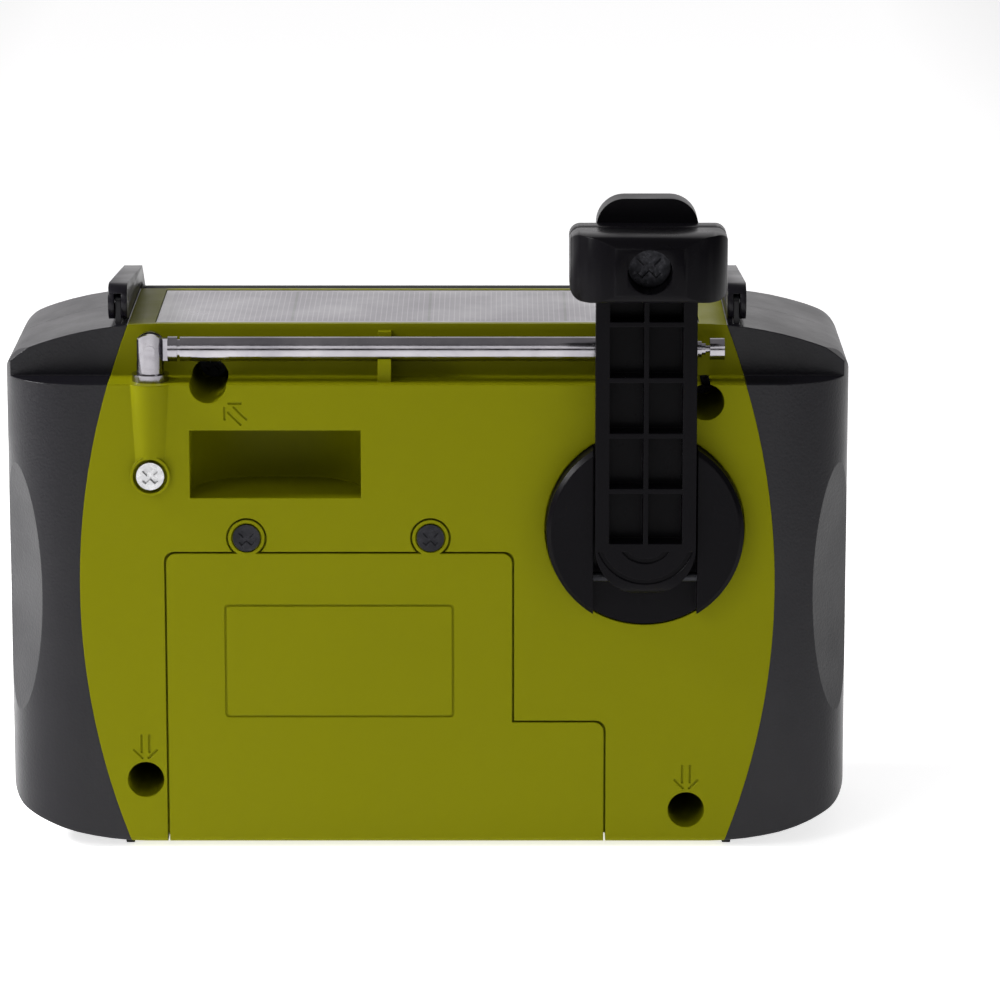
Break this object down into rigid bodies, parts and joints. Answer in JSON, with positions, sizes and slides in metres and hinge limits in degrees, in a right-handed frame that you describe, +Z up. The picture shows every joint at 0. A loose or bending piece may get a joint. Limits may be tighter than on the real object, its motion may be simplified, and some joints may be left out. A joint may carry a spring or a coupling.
{
  "type": "emergency radio",
  "caption": "Portable emergency radio with a folding hand crank, top solar panel, telescopic antenna, battery bay, torch and swing handle.",
  "frame": {"origin": "centre of the bounding box, on the surface that the feet stand on", "axes": "+X along the width, towards the torch; -Y out of the crank side; +Z up"},
  "size_m": [0.1526, 0.0866, 0.1205],
  "materials": {
    "green_case": "satin moulded plastic",
    "green_door": "satin moulded plastic",
    "black_caps": "grained plastic",
    "crank_black": "glossy plastic",
    "handle_black": "satin plastic",
    "grip_rubber": "ribbed rubber",
    "feet_rubber": "matt",
    "antenna_chrome": "polished",
    "zinc_screws": "zinc plated",
    "black_screws": "blackened",
    "solar_cells": "glossy resin over cells",
    "steel": "turned",
    "bronze": "sintered",
    "gear_nylon": "moulded",
    "generator_steel": "plated can",
    "inner_black": "moulded",
    "contacts": "nickel plated",
    "cells": "wrapped",
    "circuit_board": "solder mask",
    "speaker_parts": "paper cone and steel",
    "grille_metal": "powder coated",
    "control_black": "satin",
    "components": "moulded",
    "clear": "clear",
    "dial_card": "printed card",
    "red_plastic": "glossy",
    "reflector": "vacuum metallised",
    "led": "clear tinted",
    "jack_black": "moulded",
    "socket_metal": "stamped"
  },
  "bodies": {
    "chassis": {"rear_case": "green_case", "front_case": "green_case", "rear_cap_left": "black_caps", "rear_cap_right": "black_caps", "front_cap_left": "black_caps", "front_cap_right": "black_caps", "battery_door": "green_door", "door_screws": "black_screws", "battery_box": "inner_black", "battery_springs": "contacts", "aa_cells": "cells", "lithium_cell": "cells", "case_screws": "black_screws", "antenna_post": "antenna_chrome", "antenna_screw": "zinc_screws", "antenna_pin": "antenna_chrome", "solar_panel": "solar_cells", "shaft_bush": "bronze", "generator": "generator_steel", "gear_plate": "steel", "main_board": "circuit_board", "speaker": "speaker_parts", "speaker_grille": "grille_metal", "ferrite_aerial": "inner_black", "tuning_capacitor": "components", "volume_control": "components", "dial_window": "clear", "dial_scale": "dial_card", "torch_lens": "clear", "torch_reflector": "reflector", "handle_pins": "steel", "feet": "feet_rubber", "power_led": "led", "earphone_jack": "jack_black", "charge_socket": "socket_metal"},
    "crank": {"crank_hub": "crank_black", "hub_screw": "zinc_screws", "crank_shaft": "steel", "crank_gear": "gear_nylon", "arm_pin": "black_screws"},
    "arm": {"crank_arm": "crank_black", "knob_axle": "steel", "knob_screw": "black_screws"},
    "knob": {"crank_knob": "crank_black", "knob_strip": "crank_black"},
    "idler": {"idler_gear": "gear_nylon"},
    "rotor": {"generator_rotor": "generator_steel"},
    "antenna_1": {"antenna_root": "antenna_chrome"},
    "antenna_2": {"antenna_section_2": "antenna_chrome"},
    "antenna_3": {"antenna_section_3": "antenna_chrome"},
    "antenna_4": {"antenna_section_4": "antenna_chrome"},
    "antenna_5": {"antenna_section_5": "antenna_chrome"},
    "handle": {"handle_left": "handle_black", "handle_right": "handle_black", "handle_grip": "grip_rubber"},
    "tuning": {"tuning_knob": "control_black"},
    "pointer": {"dial_pointer": "red_plastic"},
    "volume": {"volume_knob": "control_black"},
    "band": {"band_slider": "control_black"},
    "torch_switch": {"torch_button": "red_plastic"}
  },
  "joints": [
    {"name": "crank_spin", "type": "hinge", "parent": "chassis", "child": "crank", "pos_m": [0.0391, -0.0187, 0.0597], "axis": [0, 1, 0], "continuous": true},
    {"name": "crank_fold", "type": "hinge", "parent": "crank", "child": "arm", "pos_m": [0.0391, -0.022, 0.05144], "axis": [1, 0, 0], "range_deg": [0, 180]},
    {"name": "knob_spin", "type": "hinge", "parent": "arm", "child": "knob", "pos_m": [0.0391, -0.025, 0.1105], "axis": [0, 1, 0], "continuous": true},
    {"name": "idler_spin", "type": "hinge", "parent": "chassis", "child": "idler", "pos_m": [0.02389, -0.0087, 0.07269], "axis": [0, 1, 0], "continuous": true},
    {"name": "generator_spin", "type": "hinge", "parent": "chassis", "child": "rotor", "pos_m": [0.00639, -0.0037, 0.06849], "axis": [0, 1, 0], "continuous": true},
    {"name": "antenna_tilt", "type": "hinge", "parent": "chassis", "child": "antenna_1", "pos_m": [-0.0496, -0.0145, 0.0916], "axis": [0, -1, 0], "range_deg": [0, 90]},
    {"name": "antenna_slide_2", "type": "slide", "parent": "antenna_1", "child": "antenna_2", "axis": [1, 0, 0], "range_m": [0, 0.078]},
    {"name": "antenna_slide_3", "type": "slide", "parent": "antenna_2", "child": "antenna_3", "axis": [1, 0, 0], "range_m": [0, 0.078]},
    {"name": "antenna_slide_4", "type": "slide", "parent": "antenna_3", "child": "antenna_4", "axis": [1, 0, 0], "range_m": [0, 0.078]},
    {"name": "antenna_slide_5", "type": "slide", "parent": "antenna_4", "child": "antenna_5", "axis": [1, 0, 0], "range_m": [0, 0.078]},
    {"name": "handle_swing", "type": "hinge", "parent": "chassis", "child": "handle", "pos_m": [0, -0.0066, 0.099], "axis": [1, 0, 0], "range_deg": [0, 90]},
    {"name": "tuning_turn", "type": "hinge", "parent": "chassis", "child": "tuning", "pos_m": [0.044, 0.0313, 0.043], "axis": [0, 1, 0], "range_deg": [-150, 150]},
    {"name": "pointer_slide", "type": "slide", "parent": "chassis", "child": "pointer", "axis": [1, 0, 0], "range_m": [-0.018, 0.018]},
    {"name": "volume_turn", "type": "hinge", "parent": "chassis", "child": "volume", "pos_m": [0.016, 0.0313, 0.043], "axis": [0, 1, 0], "range_deg": [-140, 140]},
    {"name": "band_slide", "type": "slide", "parent": "chassis", "child": "band", "axis": [1, 0, 0], "range_m": [0, 0.0075]},
    {"name": "torch_press", "type": "slide", "parent": "chassis", "child": "torch_switch", "axis": [0, -1, 0], "range_m": [0, 0.001], "stiffness_N_per_m": 800}
  ],
  "couplings": [
    {"joint": "idler_spin", "follows": "crank_spin", "ratio": -4},
    {"joint": "generator_spin", "follows": "crank_spin", "ratio": 16},
    {"joint": "pointer_slide", "follows": "tuning_turn", "m_per_rad": -0.0068}
  ]
}
